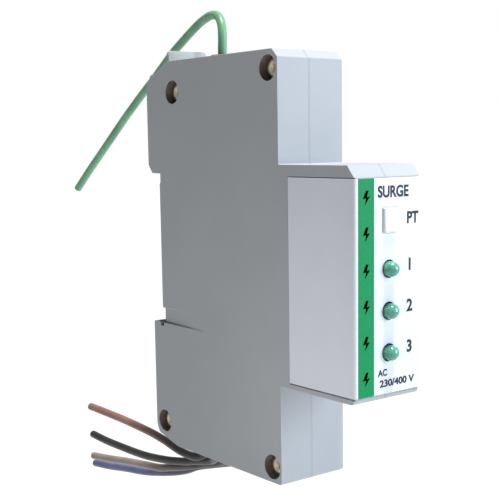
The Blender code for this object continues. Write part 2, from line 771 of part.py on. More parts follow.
def make_lead_grommet():
    rubber = material("grommet_rubber", (0.04, 0.04, 0.045), 0.7)
    low = BOTTOM_Z - 1.1
    wall_inside = BOTTOM_Z + 1.6
    high = wall_inside + 0.9
    outer = stadium(GROMMET_FLANGE)
    inner = stadium(GROMMET_FLANGE - 0.2)
    body = plate("lead_grommet", stadium(GROMMET_NECK), "Z", low, high, rubber)
    join(body, plate("grommet_outer_flange", outer, "Z", low, BOTTOM_Z - GAP))
    join(body, plate("grommet_inner_flange", inner, "Z", wall_inside + GAP, high))
    for name, y in zip("abcd", PHASE_EXITS_Y):
        cut(body, cylinder("cut_lead_hole_" + name, LEAD_HOLE, (0, y, -52), (0, y, -38), sides=16))


def make_leads():
    colours = {
        "lead_earth_green": (0.05, 0.32, 0.13),
        "lead_phase_brown": (0.30, 0.13, 0.09),
        "lead_phase_black": (0.03, 0.03, 0.03),
        "lead_phase_grey": (0.27, 0.24, 0.20),
        "lead_neutral_blue": (0.10, 0.12, 0.38),
    }
    for name, route in LEAD_ROUTES.items():
        sleeve = material("pvc_" + name, colours[name], 0.4)
        tube(name, smooth_route(route, LEAD_POINT_SPACING), LEAD_RADIUS, sleeve)


def main():
    clear_scene()
    make_collections()
    through = shared_cutters()
    make_case_half("housing_left", -1, through)
    make_case_half("housing_right", 1, through)
    for name, y, z in RIVETS:
        make_rivet(name, y, z)
    make_label()
    make_latch()
    make_latch_spring()
    button = make_test_button()
    make_tact_switch(button)
    make_leds()
    make_board()
    make_varistors()
    make_small_components()
    make_solder_posts()
    make_earth_grommet()
    make_lead_grommet()
    make_leads()


main()
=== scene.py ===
"""Looks of the one-module rail surge protector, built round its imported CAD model.

Everything is in the CAD's frame: X across the width, -Y the front, +Z up, the origin on the
rail seat. Lengths below are in millimetres and become metres when a shape is made.
"""
import math

import bmesh
import bpy
from mathutils import Matrix, Vector


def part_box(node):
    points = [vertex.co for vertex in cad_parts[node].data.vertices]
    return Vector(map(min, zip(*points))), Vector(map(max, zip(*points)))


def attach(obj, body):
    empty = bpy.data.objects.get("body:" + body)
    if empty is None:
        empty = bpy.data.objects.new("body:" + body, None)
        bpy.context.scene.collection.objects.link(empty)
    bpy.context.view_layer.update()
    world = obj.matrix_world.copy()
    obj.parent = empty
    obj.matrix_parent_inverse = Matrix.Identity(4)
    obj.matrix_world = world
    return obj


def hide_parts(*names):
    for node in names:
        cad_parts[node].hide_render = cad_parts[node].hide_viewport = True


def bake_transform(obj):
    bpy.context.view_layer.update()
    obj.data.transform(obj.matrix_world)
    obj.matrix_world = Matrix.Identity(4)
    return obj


MM = 0.001

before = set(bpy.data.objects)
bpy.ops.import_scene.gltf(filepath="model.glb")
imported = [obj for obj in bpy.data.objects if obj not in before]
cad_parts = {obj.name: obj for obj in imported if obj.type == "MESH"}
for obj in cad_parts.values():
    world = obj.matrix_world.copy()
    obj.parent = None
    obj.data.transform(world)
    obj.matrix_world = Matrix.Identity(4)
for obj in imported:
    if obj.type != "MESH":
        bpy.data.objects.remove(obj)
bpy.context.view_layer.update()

# ---------------------------------------------------------------- camera

CAMERA_AZIMUTH = -37.862
CAMERA_ELEVATION = 7.718
CAMERA_ROLL = -0.832
CAMERA_DISTANCE = 268.4
CAMERA_TARGET = (18.85, 0.0, -11.32)
CAMERA_FOCAL_LENGTH = 76.48
CAMERA_SHIFT = (-0.0094, 0.0751)


def make_camera():
    azimuth = math.radians(CAMERA_AZIMUTH)
    elevation = math.radians(CAMERA_ELEVATION)
    back = Vector((
        math.sin(azimuth) * math.cos(elevation),
        -math.cos(azimuth) * math.cos(elevation),
        math.sin(elevation),
    ))
    level = (-back).cross(Vector((0, 0, 1))).normalized()
    roll = Matrix.Rotation(math.radians(CAMERA_ROLL), 3, "Z")
    turn = Matrix((level, back.cross(level), back)).transposed() @ roll
    data = bpy.data.cameras.new("camera")
    data.sensor_width = 36.0
    data.lens = CAMERA_FOCAL_LENGTH
    data.shift_x, data.shift_y = CAMERA_SHIFT
    data.clip_start = 0.005
    data.clip_end = 50.0
    data.dof.use_dof = False
    camera = bpy.data.objects.new("camera", data)
    bpy.context.scene.collection.objects.link(camera)
    place = (Vector(CAMERA_TARGET) + back * CAMERA_DISTANCE) * MM
    camera.matrix_world = Matrix.Translation(place) @ turn.to_4x4()
    bpy.context.scene.camera = camera


# ---------------------------------------------------------------- materials

class Shader:
    """A Principled material whose colour, roughness and relief come from noise in object space."""

    def __init__(self, name, roughness=0.5, metallic=0.0, **sockets):
        self.material = bpy.data.materials.new(name)
        self.material.use_nodes = True
        self.tree = self.material.node_tree
        self.principled = self.tree.nodes["Principled BSDF"]
        self.principled.inputs["Roughness"].default_value = roughness
        self.principled.inputs["Metallic"].default_value = metallic
        for socket, value in sockets.items():
            self.principled.inputs[socket.replace("_", " ")].default_value = value
        self.place = self.tree.nodes.new("ShaderNodeTexCoord").outputs["Object"]

    def node(self, kind, **inputs):
        made = self.tree.nodes.new(kind)
        for socket, value in inputs.items():
            self.put(made.inputs[socket.replace("_", " ")], value)
        return made

    def put(self, socket, value):
        if isinstance(value, bpy.types.NodeSocket):
            self.tree.links.new(value, socket)
        else:
            socket.default_value = value

    def noise(self, size_mm, detail=3.0, stretch=(1.0, 1.0, 1.0), roughness=0.55):
        """Noise whose blotches are about size_mm across."""
        scaled = self.node("ShaderNodeVectorMath", Vector=self.place)
        scaled.operation = "MULTIPLY"
        scaled.inputs[1].default_value = stretch
        made = self.node(
            "ShaderNodeTexNoise", Vector=scaled.outputs["Vector"], Scale=1000.0 / size_mm, Detail=detail,
            Roughness=roughness,
        )
        return made.outputs["Fac"]

    def ramp(self, fac, *stops):
        """A colour ramp of (position, colour) stops."""
        made = self.node("ShaderNodeValToRGB", Fac=fac)
        ramp = made.color_ramp
        while len(ramp.elements) < len(stops):
            ramp.elements.new(0.5)
        for element, (position, colour) in zip(ramp.elements, stops):
            element.position = position
            element.color = (*colour, 1.0)
        return made.outputs["Color"]

    def mix(self, fac, first, second):
        made = self.tree.nodes.new("ShaderNodeMix")
        made.data_type = "RGBA"
        self.put(made.inputs[0], fac)
        for socket, value in ((made.inputs[6], first), (made.inputs[7], second)):
            self.put(socket, value if isinstance(value, bpy.types.NodeSocket) else (*value, 1.0))
        return made.outputs[2]

    def level(self, fac, low, high):
        """The noise's middle range spread from low to high."""
        made = self.node("ShaderNodeMapRange", Value=fac)
        made.inputs["From Min"].default_value = 0.3
        made.inputs["From Max"].default_value = 0.7
        made.inputs["To Min"].default_value = low
        made.inputs["To Max"].default_value = high
        return made.outputs["Result"]

    def fade(self, value, near, far):
        """One up to a distance in millimetres, falling to nothing at the far one."""
        made = self.node("ShaderNodeMapRange", Value=value)
        made.inputs["From Min"].default_value = near * MM
        made.inputs["From Max"].default_value = far * MM
        made.inputs["To Min"].default_value = 1.0
        made.inputs["To Max"].default_value = 0.0
        return made.outputs["Result"]

    def smaller(self, first, second):
        made = self.node("ShaderNodeMath", Value=first)
        made.operation = "MINIMUM"
        self.put(made.inputs[1], second)
        return made.outputs["Value"]

    def colour(self, value):
        self.put(self.principled.inputs["Base Color"], value)

    def rough(self, value):
        self.put(self.principled.inputs["Roughness"], value)

    def bump(self, *layers):
        """Relief layers of (height noise, depth in millimetres)."""
        normal = None
        for height, depth in layers:
            made = self.node("ShaderNodeBump", Height=height)
            made.inputs["Strength"].default_value = 1.0
            made.inputs["Distance"].default_value = depth * MM
            if normal is not None:
                self.put(made.inputs["Normal"], normal)
            normal = made.outputs["Normal"]
        self.put(self.principled.inputs["Normal"], normal)


def shade(colour, factor):
    return tuple(min(1.0, c * factor) for c in colour)


def moulded(name, colour, roughness, grain=0.004, spread=0.04, painted_shade=None, **sockets):
    """Moulded plastic: a faint flow mottle, a fine grain and slightly uneven gloss."""
    made = Shader(name, roughness, **sockets)
    flow = made.noise(26.0, 3.0)
    speck = made.noise(0.7, 2.0)
    base = made.ramp(flow, (0.3, shade(colour, 1 - spread)), (0.7, shade(colour, 1 + spread)))
    clean = made.mix(made.level(speck, 0.0, 0.12), base, shade(colour, 0.9))
    # Painted shade, when given, goes over the clean colour.
    made.colour(painted_shade(made, clean) if painted_shade else clean)
    made.rough(made.level(made.noise(6.0), roughness - 0.05, roughness + 0.06))
    made.bump((made.noise(0.28, 2.0), grain), (made.noise(9.0, 2.0), grain * 3))
    return made.material


# How far the painted shade in the rivet recesses reaches from a rivet's axis, and from the case's middle,
# before it fades out.
RECESS_SHADE_REACH = (2.68, 2.8)
RECESS_SHADE_HALF_WIDTH = (8.5, 8.72)


def painted_recess_shade(made, clean):
    """Painted shade, a dark brown, in the four rivet recesses, over the clean colour."""
    flat = made.node("ShaderNodeVectorMath", Vector=made.place)
    flat.operation = "MULTIPLY"
    flat.inputs[1].default_value = (0.0, 1.0, 1.0)
    nearest = None
    for _, y, z in RIVETS:
        reach = made.node("ShaderNodeVectorMath", Vector=flat.outputs["Vector"])
        reach.operation = "DISTANCE"
        reach.inputs[1].default_value = (0.0, y * MM, z * MM)
        nearest = made.smaller(nearest, reach.outputs["Value"]) if nearest else reach.outputs["Value"]
    inside = made.fade(nearest, *RECESS_SHADE_REACH)
    across = made.node("ShaderNodeSeparateXYZ", Vector=made.place).outputs["X"]
    width = made.node("ShaderNodeMath", Value=across)
    width.operation = "ABSOLUTE"
    sunk = made.fade(width.outputs["Value"], *RECESS_SHADE_HALF_WIDTH)
    # The dark brown of the painted recess shade, in blotches.
    recess_shade_tone = made.ramp(made.noise(1.3, 4.0), (0.3, (0.12, 0.095, 0.08)), (0.7, (0.21, 0.17, 0.145)))
    return made.mix(made.smaller(inside, sunk), clean, recess_shade_tone)


def film(name, colour):
    """Printed self-adhesive film with the adhesive's soft unevenness under it."""
    made = Shader(name, 0.34, Specular_IOR_Level=0.3, Coat_Weight=0.05, Coat_Roughness=0.2)
    cloud = made.noise(14.0, 2.0)
    made.colour(made.ramp(cloud, (0.3, shade(colour, 0.975)), (0.7, shade(colour, 1.015))))
    made.rough(made.level(made.noise(3.0), 0.28, 0.38))
    made.bump((made.noise(5.0, 2.0), 0.012), (made.noise(0.25, 1.0), 0.001))
    return made.material


def ink(name, colour, wear=0.12):
    """Screen-print ink, a little thin in places."""
    made = Shader(name, 0.42, Specular_IOR_Level=0.08)
    worn = tuple(c + (1 - c) * wear * 0.35 for c in colour)
    made.colour(made.ramp(made.noise(0.6, 4.0), (0.25, shade(colour, 1 - wear)), (0.75, worn)))
    made.bump((made.noise(0.2, 2.0), 0.001))
    return made.material


def metal(name, colour, roughness, tarnish):
    made = Shader(name, roughness, 1.0)
    stain = made.noise(1.6, 5.0)
    made.colour(made.ramp(stain, (0.32, shade(colour, 1 - tarnish)), (0.6, colour)))
    made.rough(made.level(made.noise(0.5, 3.0), roughness - 0.08, roughness + 0.14))
    made.bump((made.noise(0.3, 3.0), 0.006))
    return made.material


# Where the painted shade on a lower lead starts to fade and where it ends, along Y.
ROOT_SHADE_FADE = (4.0, 26.0)


def sleeve(name, colour, sheen_colour, shaded_root):
    """Extruded wire sleeve with a soft gloss, on some leads darkened by painted shade towards the case.
    """
    made = Shader(name, 0.36, Specular_IOR_Level=0.4)
    clean = made.ramp(made.noise(7.0, 3.0), (0.3, colour), (0.72, sheen_colour))
    if shaded_root:
        # Painted shade, near black, on the lead where it runs under the case.
        along = made.node("ShaderNodeSeparateXYZ", Vector=made.place).outputs["Y"]
        root_shade = made.ramp(made.noise(3.0, 3.0), (0.3, (0.020, 0.017, 0.017)), (0.7, (0.04, 0.034, 0.034)))
        clean = made.mix(made.fade(along, *ROOT_SHADE_FADE), clean, root_shade)
    made.colour(clean)
    made.rough(made.level(made.noise(2.0), 0.3, 0.46))
    made.bump((made.noise(0.5, 2.0), 0.006), (made.noise(4.0, 2.0), 0.03))
    return made.material


def rubber(name, colour):
    made = Shader(name, 0.72)
    made.colour(made.ramp(made.noise(2.5, 4.0), (0.3, shade(colour, 0.8)), (0.7, shade(colour, 1.5))))
    made.rough(made.level(made.noise(1.0), 0.64, 0.82))
    made.bump((made.noise(0.25, 3.0), 0.01))
    return made.material


def lens(name, colour):
    """Diffused epoxy of a lamp: cloudy, tinted and glossy."""
    made = Shader(
        name, 0.16, Coat_Weight=0.4, Coat_Roughness=0.06, Transmission_Weight=0.12,
        Subsurface_Weight=0.35, Subsurface_Scale=0.0008,
    )
    made.colour(made.ramp(made.noise(1.4, 2.0), (0.3, shade(colour, 0.85)), (0.7, shade(colour, 1.15))))
    made.rough(made.level(made.noise(0.9), 0.12, 0.22))
    made.bump((made.noise(0.6, 2.0), 0.004))
    return made.material


def woven_board(name, colour, mask):
    """Glass-cloth laminate under solder mask."""
    made = Shader(name, 0.35)
    cloth = made.node("ShaderNodeTexBrick", Vector=made.place, Scale=900.0)
    cloth.inputs["Color1"].default_value = (*colour, 1.0)
    cloth.inputs["Color2"].default_value = (*shade(colour, 1.25), 1.0)
    cloth.inputs["Mortar"].default_value = (*mask, 1.0)
    made.colour(made.mix(made.level(made.noise(5.0), 0.1, 0.5), cloth.outputs["Color"], mask))
    made.rough(made.level(made.noise(2.0), 0.28, 0.42))
    made.bump((cloth.outputs["Fac"], 0.004))
    return made.material


def paper(name, colour):
    made = Shader(name, 0.8)
    fibre = made.noise(1.2, 5.0, (1.0, 4.0, 1.0))
    made.colour(made.ramp(fibre, (0.3, shade(colour, 0.85)), (0.7, shade(colour, 1.08))))
    made.bump((made.noise(0.4, 4.0, (1.0, 3.0, 1.0)), 0.01))
    return made.material


def banded(name, colour, stripes, low, high):
    """Resistor enamel with colour rings, placed by their share of the body's length along Y."""
    made = Shader(name, 0.38)
    along = made.node("ShaderNodeSeparateXYZ", Vector=made.place).outputs["Y"]
    span = made.node("ShaderNodeMapRange", Value=along)
    span.inputs["From Min"].default_value = low
    span.inputs["From Max"].default_value = high
    ring = made.node("ShaderNodeValToRGB", Fac=span.outputs["Result"])
    ring.color_ramp.interpolation = "CONSTANT"
    stops = [(0.0, colour)]
    for position, stripe in stripes:
        stops += [(position, stripe), (position + 0.09, colour)]
    while len(ring.color_ramp.elements) < len(stops):
        ring.color_ramp.elements.new(0.5)
    for element, (position, value) in zip(ring.color_ramp.elements, stops):
        element.position = position
        element.color = (*value, 1.0)
    specks = made.level(made.noise(0.8), 0.0, 0.15)
    made.colour(made.mix(specks, ring.outputs["Color"], shade(colour, 0.7)))
    made.bump((made.noise(0.5, 3.0), 0.01))
    return made.material


# ---------------------------------------------------------------- shapes

def add_piece(name, mesh, material, body="case", slot=None):
    item = bpy.data.objects.new(name, mesh)
    bpy.context.scene.collection.objects.link(item)
    item.data.materials.append(material)
    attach(item, body)
    return item


def mesh_from(bm, name, smooth_angle=None):
    mesh = bpy.data.meshes.new(name)
    bm.to_mesh(mesh)
    bm.free()
    if smooth_angle is not None:
        mesh.shade_smooth()
        mesh.set_sharp_from_angle(angle=math.radians(smooth_angle))
    return mesh


def lathe(name, profile, centre, axis, material, steps=56, **place):
    """A profile of (radius, height) that starts and ends on an axis, turned about it."""
    bm = bmesh.new()
    verts = [bm.verts.new((r * MM, 0, h * MM)) for r, h in profile]
    edges = [bm.edges.new(pair) for pair in zip(verts, verts[1:])]
    bmesh.ops.spin(
        bm, geom=verts + edges, cent=(0, 0, 0), axis=(0, 0, 1), angle=2 * math.pi, steps=steps,
        use_merge=True,
    )
    bmesh.ops.remove_doubles(bm, verts=bm.verts, dist=1e-7)
    bmesh.ops.recalc_face_normals(bm, faces=bm.faces)
    turn = Vector((0, 0, 1)).rotation_difference(Vector(axis)).to_matrix().to_4x4()
    bmesh.ops.transform(bm, matrix=Matrix.Translation(Vector(centre) * MM) @ turn, verts=bm.verts)
    return add_piece(name, mesh_from(bm, name, 35), material, **place)


def arc(centre, radius, start_deg, end_deg, count):
    points = []
    for i in range(count + 1):
        angle = math.radians(start_deg + (end_deg - start_deg) * i / count)
        points.append((centre[0] + radius * math.cos(angle), centre[1] + radius * math.sin(angle)))
    return points


def smooth_route(route, spacing):
    """A smooth curve through the route from its second point on, one point per spacing."""
    points = [Vector(p) for p in route]
    padded = [*points, points[-1] * 2 - points[-2]]
    fine = [points[0]]
    for i in range(1, len(padded) - 2):
        p0, p1, p2, p3 = padded[i - 1:i + 3]
        steps = max(2, round((p2 - p1).length / spacing))
        for k in range(steps):
            t = k / steps
            bend = (2 * p0 - 5 * p1 + 4 * p2 - p3) * t**2 + (3 * p1 - p0 - 3 * p2 + p3) * t**3
            fine.append((2 * p1 + (p2 - p0) * t + bend) / 2)
    fine.append(points[-1])
    return fine


FLAT_WITHIN = math.radians(0.6)
EDGE_FROM = math.radians(34)


def refine(item, bevel, segments):
    """Gives a CAD node clean faces and rounded edges."""
    weld = item.modifiers.new("weld", "WELD")
    weld.merge_threshold = 1e-6
    flat = item.modifiers.new("flat", "DECIMATE")
    flat.decimate_type = "DISSOLVE"
    flat.angle_limit = FLAT_WITHIN
    item.modifiers.new("small_faces", "TRIANGULATE")
    rounding = item.modifiers.new("rounding", "BEVEL")
    rounding.width = bevel * MM
    rounding.segments = segments
    rounding.limit_method = "ANGLE"
    rounding.angle_limit = EDGE_FROM
    rounding.use_clamp_overlap = False
    item.data.shade_smooth()
    even = item.modifiers.new("even", "WEIGHTED_NORMAL")
    even.mode = "FACE_AREA"
    even.weight = 100
    even.keep_sharp = False


def dress(name, material, bevel=0.04, segments=2):
    """Gives a CAD node its finish: a material, and edges rounded by a width in millimetres."""
    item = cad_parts[name]
    item.data.materials.clear()
    item.data.materials.append(material)
    refine(item, bevel, segments)


# ---------------------------------------------------------------- leads

# Centrelines, from the board to the cut end, as the CAD has them.
LEAD_ROUTES = {
    "earth_green": (
        (0, -13.8, 36.8), (0, -13.8, 45.2), (0.1, -13.8, 48.4), (0.6, -12.9, 51.3), (1.3, -10.8, 53.3),
        (1.9, -8.1, 54), (2.4, -4.9, 53.8), (3.2, 0.5, 52.4), (3.6, 8.3, 48.8), (3.6, 12.8, 46.2),
        (3.4, 19.7, 41.4), (3, 26.4, 36.8), (2.5, 33.3, 31.7), (2, 43.9, 23.7), (1.5, 51.2, 18),
        (1, 57.4, 12.8),
    ),
    "phase_brown": (
        (0, -5, -40.2), (0, -5, -48), (-0.8, -4.6, -50), (-2.1, -2.6, -50.9), (-3, 1.2, -50.6),
        (-3.4, 5, -49.8), (-3.5, 9, -49), (-3.6, 15.7, -48.2), (-4.2, 26.2, -47.3), (-4.6, 35, -46.9),
        (-5, 43.5, -46.6),
    ),
    "phase_black": (
        (0, -8, -40.2), (0, -8, -48), (0.6, -7.3, -50.3), (1.6, -5, -51.9), (1.3, -2, -52.8),
        (0.7, 1.5, -53.5), (0, 5, -54.3), (-0.6, 8.7, -54.9), (-1, 12.3, -55.4), (-1.4, 19.4, -56.1),
        (-1.7, 24.9, -56.3), (-1.9, 30.6, -56.3), (-2.2, 39.7, -56.2), (-2.5, 47.4, -55.7),
    ),
    "phase_grey": (
        (0, -11, -40.2), (0, -11, -48), (1.2, -10.8, -50.4), (3.6, -9.2, -51.9), (4.9, -5.7, -52.7),
        (4.7, -1.5, -54.1), (4, 2.5, -55.2), (3, 6, -56.2), (2.3, 10, -57.4), (1.5, 14, -58.3),
        (0.7, 18.2, -59.2), (0.5, 26.1, -60.1), (0.2, 34.4, -61.1), (0, 42.7, -62.3), (-0.3, 51.4, -63.3),
    ),
    "neutral_blue": (
        (0, -14, -40.2), (0, -14, -48), (1.6, -14, -50.3), (4.4, -12.8, -51.8), (6.9, -9.5, -52.6),
        (7.5, -4.7, -53.8), (7, 0.6, -55.3), (6.3, 4.2, -56.3), (5.4, 7.5, -57.3), (4.8, 11, -58.9),
        (4, 15, -60.2), (3.4, 19, -61.2), (2.9, 24, -62.3), (2.6, 29.4, -63.3), (2.4, 38.3, -64.5),
        (2.2, 46.7, -65.8), (2, 54.7, -66.7),
    ),
}
LEAD_COLOURS = {
    "earth_green": ((0.09, 0.25, 0.13), (0.155, 0.37, 0.19)),
    "phase_brown": ((0.175, 0.085, 0.065), (0.26, 0.125, 0.093)),
    "phase_black": ((0.010, 0.0095, 0.009), (0.02, 0.019, 0.018)),
    "phase_grey": ((0.19, 0.155, 0.13), (0.27, 0.22, 0.185)),
    "neutral_blue": ((0.062, 0.07, 0.165), (0.10, 0.108, 0.23)),
}
LEAD_RADIUS = 1.0
LEAD_POINT_SPACING = 0.9
STRAND_RING_RADIUS = 0.44
STRAND_RADIUS = 0.2


def make_strands(name, end, along, copper):
    """Seven strands of the conductor, flush with the sleeve's cut end."""
    bm = bmesh.new()
    turn = Vector((0, 0, 1)).rotation_difference(along).to_matrix().to_4x4()
    spots = [(0.0, 0.0), *arc((0.0, 0.0), STRAND_RING_RADIUS, 0, 300, 5)]
    for u, v in spots:
        place = Matrix.Translation(end * MM) @ turn @ Matrix.Translation(Vector((u, v, -0.2)) * MM)
        bmesh.ops.create_cone(
            bm, cap_ends=True, segments=12, radius1=STRAND_RADIUS * MM,
            radius2=STRAND_RADIUS * 0.85 * MM, depth=0.55 * MM, matrix=place,
        )
    mesh = mesh_from(bm, "strands_" + name, 35)
    return add_piece("strands_" + name, mesh, copper, slot="sleeve_" + name.split("_")[1])


def make_leads():
    copper = metal("copper_strand", (0.72, 0.36, 0.20), 0.3, 0.35)
    for name, route in LEAD_ROUTES.items():
        points = smooth_route(route, LEAD_POINT_SPACING)
        curve = bpy.data.curves.new("sleeve_" + name, "CURVE")
        curve.dimensions = "3D"
        spline = curve.splines.new("POLY")
        spline.points.add(len(points) - 1)
        for spot, point in zip(spline.points, points):
            spot.co = (*(point * MM), 1.0)
        spline.use_smooth = True
        curve.bevel_depth = LEAD_RADIUS * MM
        curve.bevel_resolution = 6
        curve.use_fill_caps = True
        lead = bpy.data.objects.new("sleeve_" + name, curve)
        bpy.context.scene.collection.objects.link(lead)
        dull, bright = LEAD_COLOURS[name]
        # Every lead but the earth gets painted shade near the case.
        curve.materials.append(sleeve("pvc_" + name, dull, bright, shaded_root=name != "earth_green"))
        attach(lead, "case")
        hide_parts("lead_" + name)
        strands = make_strands(name, points[-1], (points[-1] - points[-2]).normalized(), copper)


# ---------------------------------------------------------------- case

CASE_COLOUR = (0.367, 0.381, 0.397)

# The side view of the case, (y, z), as the CAD has it.
CASE_OUTLINE = [
    (-0.3, 18.0), (-0.3, 16.0), (0.0, 15.7), (0.0, -16.6), (-0.3, -16.9), (-0.3, -18.0),
    (1.3, -18.0), (1.3, -17.5), (2.2, -17.0), (3.85, -17.2), (3.85, -42.4), (3.4, -43.6),
    (2.6, -44.6), (-5.0, -46.5), (-43.4, -46.5), (-43.9, -46.0), (-43.9, -25.2),
    *arc((-64.95, -24.2), 1.0, 270, 180, 4),
    (-65.95, 18.1), (-64.2, 20.4), (-43.9, 20.4), (-43.9, 41.8), (-42.2, 43.5), (-4.2, 43.5),
    (1.0, 40.9), (2.7, 40.8), (4.6, 38.4), (4.6, 20.0), (3.1, 18.1),
]
SEAM_LOW_X = -0.545
SEAM_HIGH_X = -0.255
SEAM_DEPTH = 0.015
SEAM_ROOT_DEPTH = 0.6
SEAM_STEP = 0.2

# Where the seam's lip stops for openings in the case, as (low y, low z, high y, high z).
SEAM_BREAKS = (
    (-1.2, 17.0, 2.7, 39.8), (-0.6, 39.0, 1.4, 50.0), (-16.7, 41.0, -10.9, 50.0),
    (-17.2, -50.0, -1.8, -43.4), (-70.0, 6.9, -63.0, 12.9), (-70.0, -1.6, -63.0, 2.6),
    (-70.0, -9.75, -63.0, -5.55), (-70.0, -17.9, -63.0, -13.7),
)


def in_break(place):
    return any(
        low_y < place.x < high_y and low_z < place.y < high_z
        for low_y, low_z, high_y, high_z in SEAM_BREAKS
    )


def kept_runs(start, end):
    """The parts of an outline edge outside every break, as pairs of shares of its length."""
    steps = max(1, round((end - start).length / SEAM_STEP))
    runs = []
    broken = True
    for k in range(steps):
        if in_break(start.lerp(end, (k + 0.5) / steps)):
            broken = True
            continue
        if broken:
            runs.append([k / steps, 0.0])
        runs[-1][1] = (k + 1) / steps
        broken = False
    return runs


def inset_corners(depth):
    """The outline moved inwards by a depth, corner by corner."""
    corners = [Vector(c) for c in CASE_OUTLINE]
    moved = []
    for i, corner in enumerate(corners):
        before = (corner - corners[i - 1]).normalized()
        after = (corners[(i + 1) % len(corners)] - corner).normalized()
        outward = Vector((-before.y, before.x)) + Vector((-after.y, after.x))
        moved.append(corner - outward * depth / max(0.5, 1 + before.dot(after)))
    return moved


def make_seam(plastic):
    """The tongue between the two halves, which shows as a fine line round the case."""
    outer = inset_corners(SEAM_DEPTH)
    inner = inset_corners(SEAM_ROOT_DEPTH)
    bm = bmesh.new()
    for i, start in enumerate(outer):
        k = (i + 1) % len(outer)
        for first, last in kept_runs(start, outer[k]):
            section = (
                start.lerp(outer[k], first), start.lerp(outer[k], last),
                inner[i].lerp(inner[k], last), inner[i].lerp(inner[k], first),
            )
            rings = [
                [bm.verts.new((x * MM, p.x * MM, p.y * MM)) for p in section]
                for x in (SEAM_LOW_X, SEAM_HIGH_X)
            ]
            bm.faces.new(rings[0])
            bm.faces.new(reversed(rings[1]))
            for a in range(4):
                b = (a + 1) % 4
                bm.faces.new((rings[0][a], rings[1][a], rings[1][b], rings[0][b]))
    bmesh.ops.recalc_face_normals(bm, faces=bm.faces)
    add_piece("seam_tongue", mesh_from(bm, "seam_tongue"), plastic, slot="case_plastic")


def make_case():
    # The case plastic carries painted shade in its four rivet recesses.
    plastic = moulded("case_grey", CASE_COLOUR, 0.55, painted_shade=painted_recess_shade, Specular_IOR_Level=0.2)
    for name in ("housing_left", "housing_right"):
        dress(name, plastic, bevel=0.13, segments=3)
    make_seam(plastic)


# Each rivet's name and the (y, z) of its axis, and the height of its seat from the case's middle.
RIVETS = (
    ("top_front", -40.7, 39.8),
    ("top_rear", -6.0, 36.5),
    ("bottom_front", -40.8, -43.1),
    ("bottom_rear", 0.3, -41.2),
)
RIVET_SEAT = 6.55


def make_rivets():
    brass = metal("rolled_brass", (0.58, 0.51, 0.385), 0.34, 0.35)
    head = [
        (1.1, 0.0), (2.2, 0.0), (2.3, 0.05), (2.28, 0.22), (2.14, 0.42), (1.9, 0.6), (1.62, 0.74),
        (1.3, 0.8), (0.98, 0.77), (0.7, 0.68), (0.45, 0.6), (0.2, 0.57), (0.0, 0.56),
    ]
    half = [(radius, RIVET_SEAT + rise) for radius, rise in head]
    profile = half[::-1] + [(1.1, 0.0)] + [(radius, -height) for radius, height in half]
    for name, y, z in RIVETS:
        piece = lathe("eyelet_" + name, profile, (0, y, z), (1, 0, 0), brass, slot="rivet_brass")
        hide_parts("rivet_" + name)


# ---------------------------------------------------------------- label

LABEL_FACE_Y = -66.5
INK_DEPTH = 0.02


def print_plate(name, corners, material):
    """Ink laid on the label's front: an outline of (x, z) points as a thin plate."""
    bm = bmesh.new()
    front = (LABEL_FACE_Y - INK_DEPTH) * MM
    face = bm.faces.new([bm.verts.new((x * MM, front, z * MM)) for x, z in corners])
    made = bmesh.ops.extrude_face_region(bm, geom=[face])["geom"]
    bmesh.ops.translate(
        bm, vec=(0, INK_DEPTH * MM, 0), verts=[g for g in made if isinstance(g, bmesh.types.BMVert)]
    )
    bmesh.ops.recalc_face_normals(bm, faces=bm.faces)
    add_piece(name, mesh_from(bm, name), material, slot="label_film")


# A font's size for capitals one unit tall, and how far a stroke swells for each unit of height.
FONT_SIZE = 1.37
STROKE_SWELL = 0.045


def print_text(name, words, centre, height, material, width=None):
    """Generic lettering as thin ink, its capitals height tall and centred at (x, z)."""
    curve = bpy.data.curves.new(name, "FONT")
    curve.body = words
    curve.align_x = "CENTER"
    curve.align_y = "CENTER"
    curve.size = height * FONT_SIZE
    curve.offset = STROKE_SWELL * height
    curve.extrude = INK_DEPTH / 2
    text = bpy.data.objects.new(name, curve)
    bpy.context.scene.collection.objects.link(text)
    bpy.context.view_layer.update()
    solid = text.evaluated_get(bpy.context.evaluated_depsgraph_get())
    mesh = bpy.data.meshes.new_from_object(solid)
    bpy.data.objects.remove(text, do_unlink=True)
    stretch = width / max(v.co.x * 2 for v in mesh.vertices) if width else 1.0
    place = Matrix.Translation(Vector((centre[0], LABEL_FACE_Y - 1.5 * INK_DEPTH, centre[1])) * MM)
    stand = Matrix.Rotation(math.radians(90), 4, "X")
    mesh.transform(place @ stand @ Matrix.Diagonal((stretch * MM, MM, MM, 1)))
    mesh.materials.clear()
    add_piece(name, mesh, material, slot="label_film")


BAND = [(-8.2, -23.85), (-4.0, -23.85), (-4.0, 17.9), (-8.2, 17.9)]
BOLT = [(-0.1, 1.4), (-0.95, -0.2), (-0.1, -0.05), (-0.4, -1.4), (0.95, 0.3), (0.15, 0.15), (0.55, 1.4)]
BOLT_X = -6.05
BOLT_Z = (14.3, 7.4, 0.4, -6.5, -13.4, -20.4)
PHASE_NUMBER_Z = (0.9, -7.2, -15.3)


